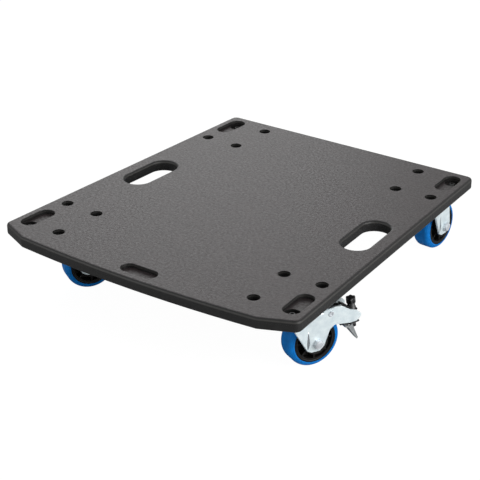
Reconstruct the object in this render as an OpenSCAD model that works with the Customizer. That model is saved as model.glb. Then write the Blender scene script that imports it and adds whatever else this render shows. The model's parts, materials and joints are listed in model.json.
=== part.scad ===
/* [Board] */
// Length of the board from the middle of its front edge to its rear edge
board_l = 584; // [560:1:610]
// Width of the board across its front corners
front_w = 520; // [504:1:540]
// Width of the board across its rear corners
rear_w = 466; // [456:1:480]
// Thickness of the board
board_t = 18; // [16:0.5:22]
// Radius worked along the upper and lower edges of the board
edge_r = 4; // [2:0.5:4.5]
// Radius of the two front corners in plan, where the facets start
corner_r = 6; // [5:0.5:8]
// Radius of the four side corners in plan
side_corner_r = 11; // [7:0.5:14]
// Width of the angled facet at each front corner
facet_w = 53; // [44:1:62]
// Depth of the angled facet at each front corner
facet_d = 23; // [18:1:28]
// Bow of the front edge between the two facets
front_bow = 10; // [7:0.5:13]

/* [Hand holes and pockets] */
// Length of each hand hole
hand_l = 104; // [94:1:120]
// Width of each hand hole
hand_w = 44; // [36:1:48]
// Distance from the board's side edge to the middle of a hand hole
hand_inset = 47; // [40:1:60]
// Distance of the hand holes behind the middle of the board
hand_y = 12; // [0:1:30]
// Width of the locating pockets in the corners
pocket_w = 26; // [25:0.5:30]
// Length of the locating pockets in the corners
pocket_l = 60; // [50:1:66]
// Depth of every locating pocket, which is the thickness of the board's face layer
pocket_d = 6.5; // [5:0.5:7]
// Width of the pocket at the middle of the front edge
front_pocket_w = 24; // [20:0.5:28]
// Distance from the front edge to the middle of the front pocket
front_pocket_inset = 26; // [22:1:34]
// Radius worked round the rim of every pocket
rim_r = 1; // [0.5:0.25:2]

/* [Board fastenings] */
// Nominal diameter of the screws that hold the casters
screw_d = 8; // [6:0.5:8.5]
// Room round a screw in its hole
screw_gap = 0.4; // [0.25:0.05:0.5]
// Diameter of the counterbores in the board
counterbore_d = 18.5; // [16:0.5:20]
// Diameter of the counterbores in the floors of the corner pockets
pocket_bore_d = 24; // [20:0.5:24.5]
// Depth of the screws' seats below the top of the board
seat_d = 11.5; // [11:0.25:13]
// Diameter of a screw's button head
head_d = 14; // [13:0.5:15]
// Height of a screw's button head
head_h = 4.4; // [3.5:0.1:4.8]
// Width across the flats of the nuts under the plates
nut_af = 13; // [11:0.5:14]
// Height of the nuts under the plates
nut_h = 8; // [6:0.5:8]
// Length of thread that stands out of a nut
thread_end = 1; // [0.5:0.25:1.5]

/* [Caster plate] */
// Length of the top plate along the side of the board
plate_l = 105; // [98:1:112]
// Width of the top plate
plate_w = 85; // [78:1:92]
// Thickness of the top plate
plate_t = 3; // [2:0.25:4]
// Corner radius of the top plate
plate_r = 9; // [5:1:12]
// Screw spacing along the plate
pattern_l = 80; // [77:1:84]
// Screw spacing across the plate
pattern_w = 60; // [57:1:64]
// Distance from the side edge of the board to the swivel axis
side_inset = 55.5; // [54:0.5:60]
// Distance from the middle of the front edge to the front swivel axes
front_inset = 95.5; // [93:0.5:105]
// Distance from the rear edge to the rear swivel axes
rear_inset = 69; // [68:1:80]

/* [Swivel head] */
// Diameter of the upper bearing balls
ball_d = 6; // [5:0.25:6.5]
// Radius of the circle of upper balls
race_r = 24; // [23:0.25:25]
// Number of upper balls
ball_count = 18; // [12:1:20]
// Thickness of each race
race_t = 4.5; // [4:0.25:5.5]
// Gap between the faces of the two races
race_gap = 2; // [1.5:0.25:2.5]
// Width of each race
race_w = 10; // [9:0.25:11]
// Diameter of the lower bearing balls
low_ball_d = 5; // [4:0.25:5.5]
// Radius of the circle of lower balls
low_race_r = 10.5; // [10:0.25:11]
// Number of lower balls
low_ball_count = 10; // [6:1:11]
// Diameter of the kingpin
kingpin_d = 12; // [10:0.5:13]
// Radius of the swivel head
head_r = 33; // [32:0.5:34]
// Wall of the dust collar
collar_t = 1.8; // [1:0.2:2]
// Play of the balls in their races
ball_play = 0.15; // [0.1:0.05:0.3]

/* [Fork] */
// Thickness of the pressed steel of the fork
fork_t = 2.5; // [2:0.25:3]
// Room between the top of the wheel and the fork's crown
crown_gap = 5.5; // [4.5:0.5:6]
// Distance of the wheel's axle behind the swivel axis
trail = 35.5; // [34:0.5:38]
// Distance of the crease in each leg ahead of the axle
crease = 16; // [15:0.5:17]
// Inward turn of each leg ahead of the crease
crease_turn = 15; // [10:1:15]
// How far the legs reach below the axle
leg_drop = 12; // [10:0.5:14]
// Outer radius of the bends between crown and legs
bend_r = 5; // [4:0.5:6]
// Reach of the brake arms behind the axle
arm_reach = 69; // [67:0.5:73]

/* [Wheel] */
// Diameter of the wheel
wheel_d = 80; // [76:1:84]
// Width of the tyre
tyre_w = 30; // [28:0.5:30.5]
// Thickness of the tyre's rubber
tyre_t = 7.5; // [6:0.5:8]
// Radius of the tyre's shoulders
shoulder_r = 7.5; // [6:0.5:8]
// Length of the hub between the fork's legs
hub_l = 40; // [39.5:0.5:42]
// Thickness of the hub's rim
rim_t = 5; // [4:0.5:6]
// Thickness of the hub's web
web_t = 6; // [4:0.5:8]
// Number of ribs on each side of the web
rib_count = 8; // [5:1:10]
// Outside diameter of the wheel bearings
bearing_d = 28; // [26:0.5:30]
// Width of each wheel bearing
bearing_w = 8; // [7:0.5:9]
// Outside diameter of the axle sleeve
sleeve_d = 12; // [11:0.5:13]
// Nominal diameter of the axle bolt
axle_d = 8; // [7:0.5:8.5]
// Radial running clearance of the wheel on its sleeve
run_gap = 0.05; // [0.02:0.01:0.08]
// Gap between parts that turn past each other
side_gap = 0.3; // [0.25:0.05:0.5]

/* [Brake] */
// Distance of the lever's pivot behind the axle
pivot_back = 20; // [19:0.5:21]
// Distance of the lever's pivot below the crown
pivot_drop = 4; // [3.5:0.25:5]
// Diameter of the shouldered rivets that carry the lever
rivet_d = 6; // [5:0.5:7]
// Thickness of the lever's sheet
lever_t = 2; // [1.5:0.25:2.5]
// Tilt of the adjusting screw
screw_tilt = 7; // [5:1:9]
// Angle through which the lever is pressed to lock the wheel
lever_travel = 8; // [6:1:9]
// Width of the brake shoe
shoe_w = 16; // [12:1:20]
// Thickness of the brake shoe
shoe_t = 5; // [4:0.5:7]
// Thickness of the leaf that carries the brake shoe
leaf_t = 2; // [1.5:0.25:2.5]

/* [Rest pose] */
// Heading of the front right caster, from the right towards the back
heading_fr = 63.5; // [0:0.5:359]
// Heading of the front left caster
heading_fl = 59; // [0:0.5:359]
// Heading of the rear right caster
heading_rr = 85.5; // [60:0.5:120]
// Heading of the rear left caster
heading_rl = 76; // [60:1:120]

/* [Hidden] */

$fn = 64;
// Overlap that keeps cuts clean
eps = 0.01;
// The casters by number: front right, front left, rear right, rear left
FR = 0;
FL = 1;
RR = 2;
RL = 3;

// Heights above the floor
wheel_r = wheel_d / 2;
crown_z = wheel_d + crown_gap;
crown_top = crown_z + fork_t;
low_race_top = crown_top + race_t;
ball_z = low_race_top + race_gap / 2;
up_race_bottom = low_race_top + race_gap;
plate_z = up_race_bottom + race_t;
board_z = plate_z + plate_t;
board_top = board_z + board_t;
seat_z = board_top - seat_d;
glue_z = board_top - pocket_d;

// The board stands with the middle of the whole footprint over the origin
function tyre_reach(heading) = (trail + wheel_r - shoulder_r) * sin(heading)
    + (tyre_w / 2 - shoulder_r) * abs(cos(heading)) + shoulder_r;
rear_reach = max(tyre_reach(heading_rr), tyre_reach(heading_rl)) - rear_inset;
shift_y = -max(0, rear_reach) / 2;
front_y = -board_l / 2 + shift_y;
rear_y = board_l / 2 + shift_y;
corner_y = front_y + front_bow + facet_d;
facet_x = front_w / 2 - facet_w;
facet_y = front_y + front_bow;
taper = atan((front_w - rear_w) / 2 / (rear_y - corner_y));
function side_x(y) = front_w / 2 - (y - corner_y) * tan(taper);

function unit(v) = v / norm(v);
// The point inside corner i of outline p that lies r from both its edges
function inset_point(p, i, r) = let (
    n = len(p), a = unit(p[(i + n - 1) % n] - p[i]), b = unit(p[(i + 1) % n] - p[i]))
    p[i] + r * (a + b) / abs(cross(a, b));

// Plan of the board: a bowed front edge, two facets, tapering sides and a straight rear
front_steps = 12;
board_plan = concat(
    [for (k = [0 : front_steps]) let (x = facet_x * (2 * k / front_steps - 1))
        [x, front_y + front_bow * pow(x / facet_x, 2)]],
    [[side_x(corner_y), corner_y], [side_x(rear_y), rear_y],
     [-side_x(rear_y), rear_y], [-side_x(corner_y), corner_y]]);

// The front right brake may stand out past the side, so the board moves half as far to the left
fork_half = hub_l / 2 + fork_t;
arm_tip = trail + arm_reach;
board_half = inset_point(board_plan, front_steps + 1, side_corner_r).x + side_corner_r;
arm_out = side_x(front_y + front_inset) - side_inset / cos(taper)
    + arm_tip * cos(heading_fr) + fork_half * abs(sin(heading_fr));
shift_x = -max(0, arm_out - board_half) / 2;

// Swivel axes, the turn of each plate with its side edge, and the headings
front_pivot_y = front_y + front_inset;
rear_pivot_y = rear_y - rear_inset;
function side_of(i) = (i == FR || i == RR) ? 1 : -1;
function is_front(i) = i == FR || i == FL;
function pivot_y(i) = is_front(i) ? front_pivot_y : rear_pivot_y;
function pivot_x(i) = shift_x + side_of(i) * (side_x(pivot_y(i)) - side_inset / cos(taper));
function plate_turn(i) = side_of(i) * taper;
headings = [heading_fr, heading_fl, heading_rr, heading_rl];

// Screw places on a plate, and the one under the corner pocket of caster i
function screw_places() = [for (sx = [-1, 1], sy = [-1, 1]) [sx * pattern_w / 2, sy * pattern_l / 2]];
function pocket_screw(i) = [side_of(i) * pattern_w / 2, (is_front(i) ? -1 : 1) * pattern_l / 2];
screw_hole_r = screw_d / 2 + screw_gap;

// Places of leg and arm outlines
crease_s = trail - crease;
axle_hole_r = axle_d / 2 + 0.1;
axle_nut_h = axle_d * 0.7;
crown_back = trail + 8;
dish_rise = 3;
pivot_s = trail + pivot_back;
pivot_z = crown_z - pivot_drop;
lever_half = hub_l / 2 - 0.8;

// The foot of the adjusting screw, and the shoe between two angles about the axle
screw_foot = [arm_tip + 1.8, wheel_r - 1.8];
shoe_low = 11;
shoe_high = 29;
shoe_gap = ((pivot_z - wheel_r) * cos(shoe_low) - pivot_back * sin(shoe_low)) * sin(lever_travel) + 0.9;

// A round-ended outline along X
module stadium(len, w) {
    square([len - w, w], center = true);
    for (s = [-1, 1]) translate([s * (len - w) / 2, 0]) circle(d = w);
}

// What a round-over of radius r takes off the rim of a wall at distance x
module rim_profile(x, r) {
    difference() {
        translate([x - 1, -r]) square([r + 1, r + eps]);
        translate([x + r, -r]) circle(r);
    }
}

// Round-over of radius r on the rim of a round-ended opening, its face at z = 0
module rim_cut(len, w, r) {
    for (s = [-1, 1]) translate([s * (len - w) / 2, 0, 0]) rotate_extrude() rim_profile(w / 2, r);
    for (s = [0, 1]) mirror([0, s, 0])
        translate([(w - len) / 2, 0, 0]) rotate([90, 0, 90]) linear_extrude(len - w) rim_profile(w / 2, r);
}

// A round-ended pocket right through the face layer, its mouth at z = 0
module pocket_cut(w) {
    translate([0, 0, -pocket_d - 1]) linear_extrude(pocket_d + 2) stadium(pocket_l, w);
    rim_cut(pocket_l, w, rim_r);
}

// Both hand holes right through the board, with both rims rounded
module hand_hole_cuts() {
    y = hand_y + shift_y;
    for (s = [-1, 1]) translate([shift_x + s * (side_x(y) - hand_inset), y, 0]) rotate([0, 0, 90 + s * taper]) {
        translate([0, 0, board_z - 1]) linear_extrude(board_t + 2) stadium(hand_l, hand_w);
        translate([0, 0, board_top]) rim_cut(hand_l, hand_w, edge_r);
        translate([0, 0, board_z]) mirror([0, 0, 1]) rim_cut(hand_l, hand_w, edge_r);
    }
}

// Places children at the plate of caster i, turned with the side of the board
module at_plate(i) {
    translate([pivot_x(i), pivot_y(i), 0]) rotate([0, 0, plate_turn(i)]) children();
}

// Places children in caster i's own frame, +X towards the trailing wheel
module at_caster(i) {
    translate([pivot_x(i), pivot_y(i), 0]) rotate([0, 0, headings[i]]) children();
}

// Places children at every screw of caster i
module at_screws(i) {
    at_plate(i) for (p = screw_places()) translate([p.x, p.y, 0]) children();
}

// The pocket over the end screw of caster i, its round end on the screw's axis
module corner_pocket(i) {
    inward = [0, (is_front(i) ? 1 : -1) * (pocket_l - pocket_w) / 2];
    at_plate(i) translate(concat(pocket_screw(i) + inward, board_top)) rotate([0, 0, 90]) pocket_cut(pocket_w);
}

// One layer of the board, flat at flat_z and rounded along its edge at outer_z
module board_layer(flat_z, outer_z) {
    wall = abs(outer_z - flat_z) - edge_r;
    hull() for (i = [0 : len(board_plan) - 1]) {
        r = i > front_steps ? side_corner_r : corner_r;
        translate(concat(inset_point(board_plan, i, r) + [shift_x, 0], flat_z)) mirror([0, 0, outer_z > flat_z ? 0 : 1]) {
            cylinder(r = r, h = wall, $fn = 32);
            translate([0, 0, wall]) rotate_extrude($fn = 32) translate([r - edge_r, 0]) intersection() {
                circle(edge_r, $fn = 16);
                square(edge_r);
            }
        }
    }
}

// The lower layer, whose flat top is also the floor of every pocket
module board() {
    color("#3c3c3d") difference() {
        board_layer(glue_z, board_z);
        for (i = [FR, FL, RR, RL]) {
            at_screws(i) {
                translate([0, 0, board_z - 1]) cylinder(r = screw_hole_r, h = board_t + 2);
                translate([0, 0, seat_z]) cylinder(d = counterbore_d, h = seat_d + 1);
            }
            at_plate(i) translate(concat(pocket_screw(i), seat_z)) cylinder(d = pocket_bore_d, h = seat_d + 1);
        }
        hand_hole_cuts();
    }
}

// The face layer, glued on the lower one, with the pockets routed right through it
module board_face() {
    color("#4a4a4b") difference() {
        board_layer(glue_z, board_top);
        for (i = [FR, FL, RR, RL]) {
            at_screws(i) translate([0, 0, seat_z]) cylinder(d = counterbore_d, h = seat_d + 1);
            corner_pocket(i);
        }
        translate([shift_x, front_y + front_pocket_inset, board_top]) pocket_cut(front_pocket_w);
        hand_hole_cuts();
    }
}

// A button-head screw with a hexagon socket, its seat at z = 0 and its end at -len
module button_screw(len) {
    crown = head_h * 0.75;
    difference() {
        union() {
            translate([0, 0, -len]) cylinder(d = screw_d, h = len + eps);
            cylinder(d = head_d, h = head_h - crown);
            translate([0, 0, head_h - crown]) cylinder(d1 = head_d, d2 = head_d * 0.55, h = crown);
        }
        translate([0, 0, head_h * 0.35]) cylinder(d = screw_d * 0.7, h = head_h, $fn = 6);
    }
}

module deck_screws() {
    screw_len = seat_z - plate_z + nut_h + thread_end;
    color("#26272a") for (i = [FR, FL, RR, RL])
        at_screws(i) translate([0, 0, seat_z]) button_screw(screw_len);
}

// A flanged nut hanging from z = 0
module flange_nut() {
    flange_t = nut_h * 0.2;
    difference() {
        union() {
            translate([0, 0, -flange_t]) cylinder(d = nut_af * 1.35, h = flange_t);
            translate([0, 0, -nut_h]) cylinder(d = nut_af / cos(30), h = nut_h, $fn = 6);
        }
        translate([0, 0, -nut_h - 1]) cylinder(r = screw_d / 2 + run_gap, h = nut_h + 2);
    }
}

module deck_nuts() {
    color("#c9ccd0") for (i = [FR, FL, RR, RL])
        at_screws(i) translate([0, 0, plate_z]) flange_nut();
}

// A slab with round corners, built from true cylinders
module rounded_slab(l, w, r, h) {
    translate([-l / 2 + r, -w / 2, 0]) cube([l - 2 * r, w, h]);
    translate([-l / 2, -w / 2 + r, 0]) cube([l, w - 2 * r, h]);
    for (sx = [-1, 1], sy = [-1, 1])
        translate([sx * (l / 2 - r), sy * (w / 2 - r), 0]) cylinder(r = r, h = h);
}

// Ball groove of a race: the path swept by balls of diameter d with their play
module ball_groove(r, d, z) {
    translate([0, 0, z]) rotate_extrude() translate([r, 0]) circle(d / 2 + ball_play);
}

module top_plate(i) {
    color("#c9ccd0") difference() {
        union() {
            at_plate(i) translate([0, 0, plate_z]) rounded_slab(plate_w, plate_l, plate_r, plate_t);
            translate([pivot_x(i), pivot_y(i), up_race_bottom]) difference() {
                cylinder(r = race_r + race_w / 2, h = race_t + eps);
                translate([0, 0, -1]) cylinder(r = race_r - race_w / 2, h = race_t + 1);
            }
        }
        at_screws(i) translate([0, 0, plate_z - 1]) cylinder(r = screw_hole_r, h = plate_t + 2);
        translate([pivot_x(i), pivot_y(i), 0]) {
            translate([0, 0, plate_z - 1]) cylinder(r = kingpin_d / 2 + run_gap, h = plate_t + 2);
            ball_groove(race_r, ball_d, ball_z);
        }
    }
}

// Height of the lower balls, under the raised middle of the crown
low_ball_z = crown_z + dish_rise - low_ball_d / 2 - ball_play;

module kingpin(i) {
    flange_r = low_race_r + low_ball_d / 2 + 1;
    flange_top = low_ball_z - 1;
    flange_bottom = low_ball_z - low_ball_d / 2 - 2;
    color("#b9bcc2") translate([pivot_x(i), pivot_y(i), 0]) difference() {
        union() {
            translate([0, 0, flange_bottom]) cylinder(d = kingpin_d, h = board_z - flange_bottom);
            translate([0, 0, flange_bottom]) cylinder(r = flange_r, h = flange_top - flange_bottom);
        }
        ball_groove(low_race_r, low_ball_d, low_ball_z);
    }
}

module swivel_race(i) {
    color("#b9bcc2") translate([pivot_x(i), pivot_y(i), 0]) difference() {
        translate([0, 0, crown_top]) cylinder(r = head_r, h = plate_z - side_gap * 6 - crown_top);
        translate([0, 0, crown_top - 1]) cylinder(r = race_r - race_w / 2, h = board_z);
        translate([0, 0, low_race_top]) cylinder(r = head_r - collar_t, h = board_z);
        translate([0, 0, crown_top + fork_t]) difference() {
            cylinder(r = head_r - collar_t, h = board_z);
            translate([0, 0, -1]) cylinder(r = race_r + race_w / 2, h = board_z);
        }
        ball_groove(race_r, ball_d, ball_z);
    }
}

module ball_ring(count, r, d, z) {
    for (k = [0 : count - 1]) rotate([0, 0, 360 * k / count]) translate([r, 0, z]) sphere(d = d);
}

module swivel_balls(i) {
    color("#dfe2e6") at_caster(i) {
        ball_ring(ball_count, race_r, ball_d, ball_z);
        ball_ring(low_ball_count, low_race_r, low_ball_d, low_ball_z);
    }
}

// Lower part of a leg's side outline behind its crease, X along the trail and Y up
function leg_foot() = [
    [crease_s, crown_top], [crease_s, wheel_r - leg_drop + 3.5], [crease_s + 6, wheel_r - leg_drop + 0.3],
    [trail + 3, wheel_r - leg_drop], [trail + 10, wheel_r - leg_drop + 6]];

// Side outline of a plain leg
function leg_points() = concat(leg_foot(), [
    [trail + 13, wheel_r + 4], [crown_back, crown_z - 6], [crown_back, crown_top]]);

// Side outline of a braked leg, which runs on into an arm that carries the lever
function arm_points() = concat(leg_foot(), [
    [pivot_s - 1, pivot_z - 24], [pivot_s + 6.5, pivot_z - 18.6], [arm_tip - 18.5, pivot_z - 22.3],
    [arm_tip - 7, pivot_z - 22], [arm_tip, pivot_z - 16], [arm_tip, pivot_z - 12], [arm_tip - 7, pivot_z - 5.6],
    [arm_tip - 17.5, pivot_z - 2], [pivot_s + 16.4, pivot_z + 7.8], [pivot_s + 7.5, pivot_z + 8.6],
    [crown_back, crown_top]]);

// Outline with its corners rounded to radius r
module soften(r) {
    offset(r = r, $fn = 24) offset(delta = -r) offset(r = -r, $fn = 24) offset(delta = r) children();
}

// Turns an outline drawn in X and Z into a plate of thickness t that starts at y
module side_plate(y, t) {
    translate([0, y + t, 0]) rotate([90, 0, 0]) linear_extrude(t) children();
}

// Section of the fork across the trail: a channel with rounded bends
module channel_section() {
    module arch(half, top, r) {
        translate([-half, 0]) square([2 * half, top - r]);
        translate([r - half, 0]) square([2 * (half - r), top]);
        for (s = [-1, 1]) translate([s * (half - r), top - r]) circle(r);
    }
    difference() {
        arch(fork_half, crown_top, bend_r);
        translate([0, -eps]) arch(fork_half - fork_t, crown_z + eps, bend_r - fork_t);
    }
}

// The leg's front part, turned in towards the round head, with its sloping front edge
module front_flange(side) {
    height = crown_z + eps - (wheel_r - leg_drop + 3.5);
    translate([crease_s, side * fork_half, 0]) rotate([0, 0, 180 - side * crease_turn])
        mirror([0, side > 0 ? 0 : 1, 0]) side_plate(0, fork_t)
            polygon([[-0.6, crown_z + eps - height], [0, crown_z + eps - height],
                [height * 0.64, crown_z + eps], [-0.6, crown_z + eps]]);
}

// The raised middle of the crown, pressed up round the kingpin
module crown_disc() {
    dish_r = race_r - race_w / 2 - 2;
    difference() {
        union() {
            translate([0, 0, crown_z]) cylinder(r = head_r, h = fork_t);
            translate([0, 0, crown_top - eps]) cylinder(r1 = dish_r, r2 = dish_r - 1, h = dish_rise + eps);
        }
        translate([0, 0, crown_z - 1]) cylinder(r = dish_r - fork_t, h = dish_rise + 1);
        translate([0, 0, crown_z]) cylinder(d = kingpin_d + 3, h = 3 * fork_t);
    }
}

module fork(i) {
    braked = is_front(i);
    outline = braked ? arm_points() : leg_points();
    color("#c6cdd6") at_caster(i) difference() {
        union() {
            crown_disc();
            difference() {
                intersection() {
                    translate([crease_s, 0, 0]) rotate([90, 0, 90])
                        linear_extrude(braked ? crown_back - crease_s : arm_tip) channel_section();
                    side_plate(-fork_half - 1, 2 * fork_half + 2) soften(3) polygon(outline);
                }
                cylinder(r = head_r - 2, h = 2 * crown_top);
            }
            if (braked) for (y = [-fork_half, hub_l / 2]) side_plate(y, fork_t) intersection() {
                soften(3) polygon(outline);
                translate([crown_back - eps, 0]) square([arm_tip, 2 * crown_top]);
            }
            for (side = [-1, 1]) intersection() {
                front_flange(side);
                union() {
                    cylinder(r = head_r, h = crown_top);
                    translate([crease_s - 1, -fork_half, 0]) cube([3, 2 * fork_half, crown_top]);
                }
            }
            for (side = [-1, 1]) translate([0, side * (fork_half - fork_t / 2), 0])
                side_plate(-fork_t / 2, fork_t) intersection() {
                    soften(3) polygon(outline);
                    square([head_r, crown_z]);
                }
        }
        translate([trail, 0, wheel_r]) rotate([90, 0, 0])
            cylinder(r = axle_hole_r, h = 3 * fork_half, center = true);
        if (braked) translate([pivot_s, 0, pivot_z]) rotate([90, 0, 0])
            cylinder(r = rivet_d / 2 + run_gap, h = 3 * fork_half, center = true);
    }
}

// Puts children, drawn along +Z from the wheel's middle, on the axle of caster i
module on_axle(i) {
    at_caster(i) translate([trail, 0, wheel_r]) rotate([-90, 0, 0]) children();
}

module axle_bolt(i) {
    head = axle_d * 0.65;
    bolt_end = axle_nut_h + thread_end;
    color("#b4b8bd") on_axle(i) {
        translate([0, 0, fork_half]) cylinder(d = axle_d * 1.62 / cos(30), h = head, $fn = 6);
        translate([0, 0, -fork_half - bolt_end]) cylinder(d = axle_d, h = 2 * fork_half + bolt_end + eps);
    }
}

module axle_nut(i) {
    color("#b4b8bd") on_axle(i) mirror([0, 0, 1]) translate([0, 0, fork_half]) difference() {
        union() {
            cylinder(d = axle_d * 1.62 / cos(30), h = axle_nut_h * 0.75, $fn = 6);
            cylinder(d = axle_d * 1.5, h = axle_nut_h);
        }
        translate([0, 0, -1]) cylinder(r = axle_d / 2 + run_gap, h = axle_d + 2);
    }
}

module axle_sleeve(i) {
    color("#b4b8bd") on_axle(i) difference() {
        cylinder(d = sleeve_d, h = hub_l, center = true);
        cylinder(r = axle_d / 2 + run_gap, h = hub_l + 2, center = true);
    }
}

// A ring of solid rubber with round shoulders
module tyre(i) {
    half = tyre_w / 2;
    color("#0a62b4") on_axle(i) difference() {
        rotate_extrude($fn = 96) {
            translate([wheel_r - tyre_t - 4, -half]) square([tyre_t + 4 - shoulder_r, tyre_w]);
            translate([wheel_r - shoulder_r - eps, shoulder_r - half])
                square([shoulder_r + eps, tyre_w - 2 * shoulder_r]);
            for (s = [-1, 1]) translate([wheel_r - shoulder_r, s * (half - shoulder_r)]) circle(shoulder_r);
        }
        cylinder(r = wheel_r - tyre_t, h = tyre_w + 2, center = true, $fn = 96);
    }
}

module hub(i) {
    rim_out = wheel_r - tyre_t - 0.02;
    boss_r = bearing_d / 2 + 4;
    rib_r = rim_out - rim_t / 2;
    color("#1b1b1d") on_axle(i) difference() {
        union() {
            difference() {
                cylinder(r = rim_out, h = tyre_w - 1, center = true, $fn = 96);
                for (s = [-1, 1]) mirror([0, 0, s > 0 ? 0 : 1]) translate([0, 0, web_t / 2])
                    cylinder(r1 = rim_out - rim_t - 1, r2 = rim_out - rim_t + 1, h = tyre_w, $fn = 96);
            }
            cylinder(r = boss_r, h = hub_l - 2 * side_gap, center = true);
            for (k = [0 : rib_count - 1]) rotate([0, 0, 360 * k / rib_count])
                translate([boss_r - 1, -1.25, 2 - tyre_w / 2]) cube([rib_r - boss_r + 1, 2.5, tyre_w - 4]);
        }
        cylinder(d = sleeve_d + 4, h = hub_l + 2, center = true);
        for (s = [-1, 1]) mirror([0, 0, s > 0 ? 0 : 1]) translate([0, 0, hub_l / 2 - side_gap - bearing_w])
            cylinder(r = bearing_d / 2 + run_gap, h = hub_l);
    }
}

// One sealed ball bearing, its outer face at z = 0 and its seal slightly sunk
module sealed_bearing() {
    bore = sleeve_d / 2 + run_gap;
    seal = 0.5;
    translate([0, 0, -bearing_w]) difference() {
        cylinder(d = bearing_d, h = bearing_w);
        translate([0, 0, -1]) cylinder(r = bore, h = bearing_w + 2);
        translate([0, 0, bearing_w - seal]) difference() {
            cylinder(r = bearing_d / 2 - 2, h = 1);
            translate([0, 0, -1]) cylinder(r = bore + 2, h = 3);
        }
    }
}

module wheel_bearings(i) {
    color("#8d9298") on_axle(i) for (s = [0, 1]) mirror([0, 0, s])
        translate([0, 0, hub_l / 2 - side_gap]) sealed_bearing();
}

// Side outline of the brake lever, between the arms
function lever_points() = [
    [pivot_s - 8, pivot_z], [pivot_s - 5, pivot_z + 6.5], [pivot_s + 9, pivot_z + 9.5],
    [pivot_s + 17, pivot_z + 9], [arm_tip - 16.5, pivot_z - 0.5], [arm_tip - 6, pivot_z - 5],
    [arm_tip + 4.5, pivot_z - 11], [arm_tip + 4.5, pivot_z - 14], [arm_tip - 6, pivot_z - 17],
    [arm_tip - 18.5, pivot_z - 15.5], [pivot_s + 6.5, pivot_z - 9.5], [pivot_s - 1, pivot_z - 8],
    [pivot_s - 6, pivot_z - 6]];

module brake_lever(i) {
    web_s = pivot_s + 10;
    color("#1d1e20") at_caster(i) difference() {
        union() {
            for (side = [-1, 1]) side_plate(side > 0 ? lever_half - lever_t : -lever_half, lever_t)
                soften(2) polygon(lever_points());
            side_plate(-lever_half, 2 * lever_half) intersection() {
                difference() {
                    soften(2) polygon(lever_points());
                    translate([-lever_t, -lever_t * 1.15]) soften(2) polygon(lever_points());
                }
                translate([web_s, 0]) square([arm_tip, 2 * crown_top]);
            }
            on_brake_screw() translate([0, 0, lever_up]) cylinder(r = lever_seat_r, h = lever_t);
        }
        translate([pivot_s, 0, pivot_z]) rotate([90, 0, 0])
            cylinder(r = rivet_d / 2 + run_gap, h = 3 * fork_half, center = true);
        on_brake_screw() {
            cylinder(r = screw_d / 2 + screw_gap, h = 3 * wheel_r, center = true);
            translate([0, 0, lever_up - 3 * lever_t]) cylinder(r = lever_seat_r - 1, h = 3 * lever_t);
            translate([0, 0, lever_up + lever_t]) cylinder(r = lever_seat_r, h = 8 * lever_t);
        }
    }
}

// Two shouldered rivets, one through each arm into the lever's cheek
module brake_rivets(i) {
    head = 1.6;
    inner = lever_half - lever_t - side_gap;
    color("#b4b8bd") at_caster(i) for (s = [0, 1]) mirror([0, s, 0])
        translate([pivot_s, 0, pivot_z]) rotate([-90, 0, 0]) {
            difference() {
                translate([0, 0, fork_half]) cylinder(d1 = rivet_d * 1.45, d2 = rivet_d * 1.25, h = head);
                translate([0, 0, fork_half + head * 0.4]) cylinder(d = rivet_d * 0.75, h = head);
            }
            translate([0, 0, inner]) cylinder(d = rivet_d, h = fork_half - inner + eps);
        }
}

// Places children on the adjusting screw, z = 0 where the screw's foot ends, +Z up the screw
module on_brake_screw() {
    translate([screw_foot.x, 0, screw_foot.y]) rotate([0, -screw_tilt, 0]) children();
}

// Distances up the adjusting screw: the leaf on its collar, the lever and the end
leaf_up = screw_d;
lever_up = pivot_z - 14 - screw_foot.y;
screw_top = pivot_z + 8.5 - screw_foot.y;
lever_seat_r = screw_d + 1;

module brake_screw(i) {
    hex_d = screw_d * 1.62 / cos(30);
    head = screw_d * 0.9;
    collar = lever_seat_r * 2 - 1;
    color("#1d1e20") at_caster(i) on_brake_screw() {
        cylinder(d = screw_d, h = screw_top);
        translate([0, 0, screw_top - head]) cylinder(d = hex_d + 0.6, h = head, $fn = 6);
        translate([0, 0, lever_up + lever_t]) cylinder(d = collar, h = 2);
        translate([0, 0, lever_up + lever_t]) cylinder(d = hex_d - 1, h = screw_top - head - lever_up);
        translate([0, 0, thread_end]) cylinder(d = screw_d * 1.35, h = leaf_up - thread_end);
    }
}

// Sweep between two radii about the wheel's centre, from angle a to angle b, as an outline
function arc_band(r1, r2, a, b, steps) = concat(
    [for (k = [0 : steps]) let (t = a + (b - a) * k / steps) [r1 * cos(t), r1 * sin(t)]],
    [for (k = [steps : -1 : 0]) let (t = a + (b - a) * k / steps) [r2 * cos(t), r2 * sin(t)]]);

// Ends of the leaf's sloping part: at the shoe, and where it turns level with the screw's collar
leaf_end = screw_d * 0.9;
along_leaf = [cos(screw_tilt), sin(screw_tilt)];
across_leaf = [-sin(screw_tilt), cos(screw_tilt)];
leaf_foot = screw_foot + leaf_up * across_leaf;
leaf_low = leaf_foot - leaf_end * along_leaf;
leaf_high = [trail, wheel_r] + (wheel_r + shoe_gap + shoe_t - 2) * [cos(shoe_low), sin(shoe_low)];

// The black leaf: a strip on the adjusting screw with a curved shoe facing the tyre
module brake_leaf(i) {
    shoe_in = wheel_r + shoe_gap;
    color("#1d1e20") at_caster(i) difference() {
        union() {
            side_plate(-shoe_w / 2, shoe_w) translate([trail, wheel_r])
                polygon(arc_band(shoe_in, shoe_in + shoe_t, shoe_low, shoe_high, 8));
            side_plate(-shoe_w * 0.42, shoe_w * 0.84) polygon([
                leaf_high, leaf_low, leaf_foot + leaf_end * along_leaf,
                leaf_foot + leaf_end * along_leaf + leaf_t * across_leaf,
                leaf_low + leaf_t * across_leaf, leaf_high + leaf_t * across_leaf]);
        }
        on_brake_screw() cylinder(r = screw_d / 2 + run_gap, h = 3 * wheel_r, center = true);
    }
}

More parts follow.
